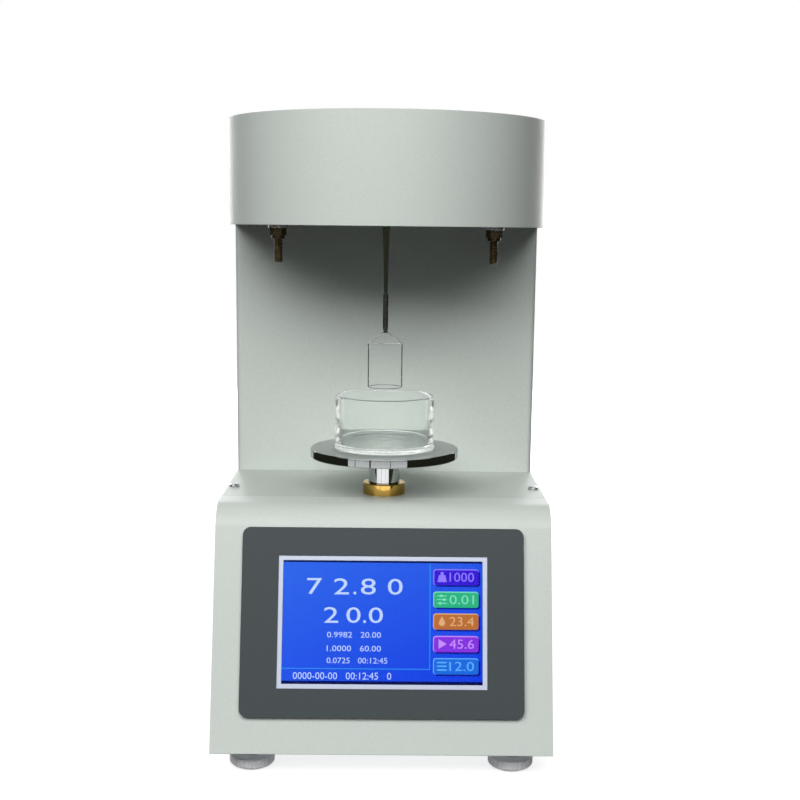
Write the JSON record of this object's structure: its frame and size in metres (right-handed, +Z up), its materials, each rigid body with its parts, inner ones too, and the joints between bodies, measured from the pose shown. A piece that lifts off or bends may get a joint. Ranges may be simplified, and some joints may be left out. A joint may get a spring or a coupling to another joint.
{
  "type": "surface tensiometer",
  "caption": "Bench surface tensiometer: sloping touch-screen base, column and round-fronted balance head with a wire ring over a glass dish on a motorised platform.",
  "frame": {"origin": "middle of the footprint, on the surface the feet stand on", "axes": "+Z up, -Y the front with the display, +X to the right seen from the front"},
  "size_m": [0.185, 0.25, 0.3555],
  "materials": {
    "powder_coat": "fine satin powder coat, light grey with a trace of green",
    "deck_coat": "satin powder coat, a shade darker than the shells",
    "zinc_sheet": "zinc-plated sheet, dull",
    "zinc_fastener": "bright zinc plating",
    "bronzed_stud": "turned steel with a warm brown tint",
    "bezel_grey": "smooth satin dark grey",
    "window_frame_pale": "pale satin moulding",
    "touch_glass": "clear, polished",
    "display_panel": "blue backlit display",
    "circuit_board": "green solder mask",
    "black_plastic": "moulded, fine grain",
    "seal_foam": "matte foam",
    "brass": "turned and polished",
    "motor_black": "black enamel over laminations",
    "ground_steel": "ground",
    "milled_aluminium": "milled, clear anodised",
    "port_shell": "nickel-plated",
    "stainless_steel": "turned and polished",
    "laboratory_glass": "clear, fire-polished rim",
    "chuck_steel": "turned, blackened",
    "platinum_wire": "drawn wire, bright",
    "wheel_grey": "moulded, light grey",
    "pad_rubber": "matte",
    "rocker_black": "moulded, glossy",
    "fuse_glass": "clear tube with metal ends"
  },
  "bodies": {
    "chassis": {"base_shell": "powder_coat", "top_plate": "deck_coat", "bottom_plate": "zinc_sheet", "foot_bosses": "zinc_fastener", "column_shell": "powder_coat", "rear_cover": "powder_coat", "cover_screws": "zinc_fastener", "head_plate": "powder_coat", "head_shell": "powder_coat", "display_bezel": "bezel_grey", "window_frame": "window_frame_pale", "touch_glass": "touch_glass", "lcd_panel": "display_panel", "display_board": "circuit_board", "display_housing": "black_plastic", "display_seal": "seal_foam", "display_clamps": "zinc_sheet", "guide_bush": "brass", "bush_nut": "brass", "motor_bracket": "zinc_sheet", "lift_motor": "motor_black", "motor_screws": "zinc_fastener", "guide_rod": "ground_steel", "limit_switches": "black_plastic", "control_board": "circuit_board", "power_supply": "zinc_sheet", "balance_bridge": "milled_aluminium", "balance_studs": "bronzed_stud", "stud_nuts": "zinc_fastener", "stud_washers": "zinc_fastener", "cell_spacer": "milled_aluminium", "load_cell": "milled_aluminium", "signal_board": "circuit_board", "inlet_body": "black_plastic", "inlet_pins": "brass", "switch_frame": "black_plastic", "data_port": "port_shell"},
    "lift": {"platform": "stainless_steel", "lift_post": "stainless_steel", "lift_nut": "brass", "guide_arm": "milled_aluminium", "arm_bush": "brass"},
    "screw": {"lead_screw": "ground_steel", "shaft_coupling": "milled_aluminium", "motor_shaft": "ground_steel"},
    "dish": {"sample_dish": "laboratory_glass"},
    "hanger": {"hanger_rod": "stainless_steel", "ring_chuck": "chuck_steel"},
    "ring": {"measuring_ring": "platinum_wire"},
    "rocker": {"power_rocker": "rocker_black"},
    "drawer": {"fuse_drawer": "black_plastic", "fuse": "fuse_glass"},
    "wheel_body_fl": {"wheel_fl": "wheel_grey"},
    "pad_body_fl": {"pad_fl": "pad_rubber"},
    "wheel_body_fr": {"wheel_fr": "wheel_grey"},
    "pad_body_fr": {"pad_fr": "pad_rubber"},
    "wheel_body_rl": {"wheel_rl": "wheel_grey"},
    "pad_body_rl": {"pad_rl": "pad_rubber"},
    "wheel_body_rr": {"wheel_rr": "wheel_grey"},
    "pad_body_rr": {"pad_rr": "pad_rubber"}
  },
  "joints": [
    {"name": "screw_turn", "type": "hinge", "parent": "chassis", "child": "screw", "pos_m": [0, -0.042, 0.08], "axis": [0, 0, -1], "range_deg": [-2535, 4515]},
    {"name": "lift_travel", "type": "slide", "parent": "chassis", "child": "lift", "axis": [0, 0, 1], "range_m": [-0.014, 0.025]},
    {"name": "dish_slide", "type": "slide", "parent": "lift", "child": "dish", "axis": [0, 1, 0], "range_m": [-0.035, 0]},
    {"name": "balance_deflection", "type": "slide", "parent": "chassis", "child": "hanger", "axis": [0, 0, 1], "range_m": [-0.001, 0], "stiffness_N_per_m": 1000, "springref_m": 0.0002},
    {"name": "ring_release", "type": "slide", "parent": "hanger", "child": "ring", "axis": [0, 0, 1], "range_m": [-0.012, 0]},
    {"name": "foot_travel_fl", "type": "slide", "parent": "chassis", "child": "pad_body_fl", "axis": [0, 0, 1], "range_m": [-0.006, 0.002]},
    {"name": "foot_turn_fl", "type": "hinge", "parent": "pad_body_fl", "child": "wheel_body_fl", "pos_m": [-0.072, -0.099, 0.004], "axis": [0, 0, 1], "range_deg": [-1740, 590]},
    {"name": "foot_travel_fr", "type": "slide", "parent": "chassis", "child": "pad_body_fr", "axis": [0, 0, 1], "range_m": [-0.006, 0.002]},
    {"name": "foot_turn_fr", "type": "hinge", "parent": "pad_body_fr", "child": "wheel_body_fr", "pos_m": [0.072, -0.099, 0.004], "axis": [0, 0, 1], "range_deg": [-1740, 590]},
    {"name": "foot_travel_rl", "type": "slide", "parent": "chassis", "child": "pad_body_rl", "axis": [0, 0, 1], "range_m": [-0.006, 0.002]},
    {"name": "foot_turn_rl", "type": "hinge", "parent": "pad_body_rl", "child": "wheel_body_rl", "pos_m": [-0.072, 0.099, 0.004], "axis": [0, 0, 1], "range_deg": [-1740, 590]},
    {"name": "foot_travel_rr", "type": "slide", "parent": "chassis", "child": "pad_body_rr", "axis": [0, 0, 1], "range_m": [-0.006, 0.002]},
    {"name": "foot_turn_rr", "type": "hinge", "parent": "pad_body_rr", "child": "wheel_body_rr", "pos_m": [0.072, 0.099, 0.004], "axis": [0, 0, 1], "range_deg": [-1740, 590]},
    {"name": "power_rock", "type": "hinge", "parent": "chassis", "child": "rocker", "pos_m": [-0.05, 0.119, 0.1015], "axis": [1, 0, 0], "range_deg": [-16, 0]},
    {"name": "fuse_drawer_slide", "type": "slide", "parent": "chassis", "child": "drawer", "axis": [0, 1, 0], "range_m": [0, 0.0185]}
  ],
  "couplings": [
    {"joint": "screw_turn", "follows": "lift_travel", "rad_per_m": 3141.6},
    {"joint": "foot_turn_fl", "follows": "foot_travel_fl", "rad_per_m": 5026.5},
    {"joint": "foot_turn_fr", "follows": "foot_travel_fr", "rad_per_m": 5026.5},
    {"joint": "foot_turn_rl", "follows": "foot_travel_rl", "rad_per_m": 5026.5},
    {"joint": "foot_turn_rr", "follows": "foot_travel_rr", "rad_per_m": 5026.5}
  ]
}
